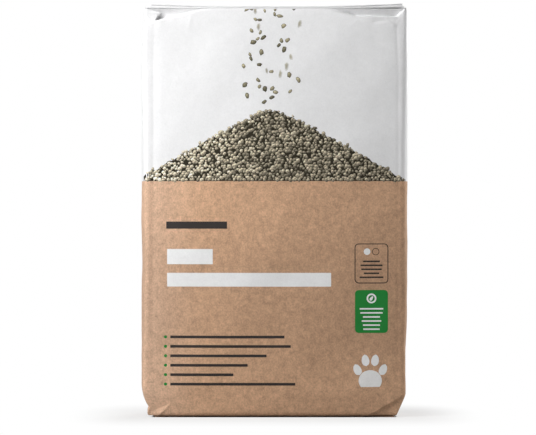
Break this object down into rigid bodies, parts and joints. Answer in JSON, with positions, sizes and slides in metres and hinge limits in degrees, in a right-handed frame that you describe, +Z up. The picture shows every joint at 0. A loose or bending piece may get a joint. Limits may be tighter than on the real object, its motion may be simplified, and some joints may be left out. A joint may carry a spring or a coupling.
{
  "type": "valve bag",
  "caption": "Filled block-bottom paper valve sack, sealed and standing upright, with a white and kraft printed front, glued end sheets and a flat filling valve at one top corner.",
  "frame": {"origin": "on the floor, at the centre of the sack's bounding box", "axes": "+Z up along the standing sack, +X along the front towards the valve end, -Y out of the front panel"},
  "size_m": [0.3, 0.1284, 0.4623],
  "materials": {
    "sack_paper": "matt kraft paper, printed white above and bare kraft below",
    "white_cover_paper": "matt white paper",
    "kraft_cover_paper": "matt kraft paper",
    "sleeve_paper": "matt kraft paper"
  },
  "bodies": {
    "root": {"sack": "sack_paper", "top_cover_sheet": "white_cover_paper", "bottom_cover_sheet": "kraft_cover_paper", "valve_sleeve": "sleeve_paper"}
  },
  "joints": []
}
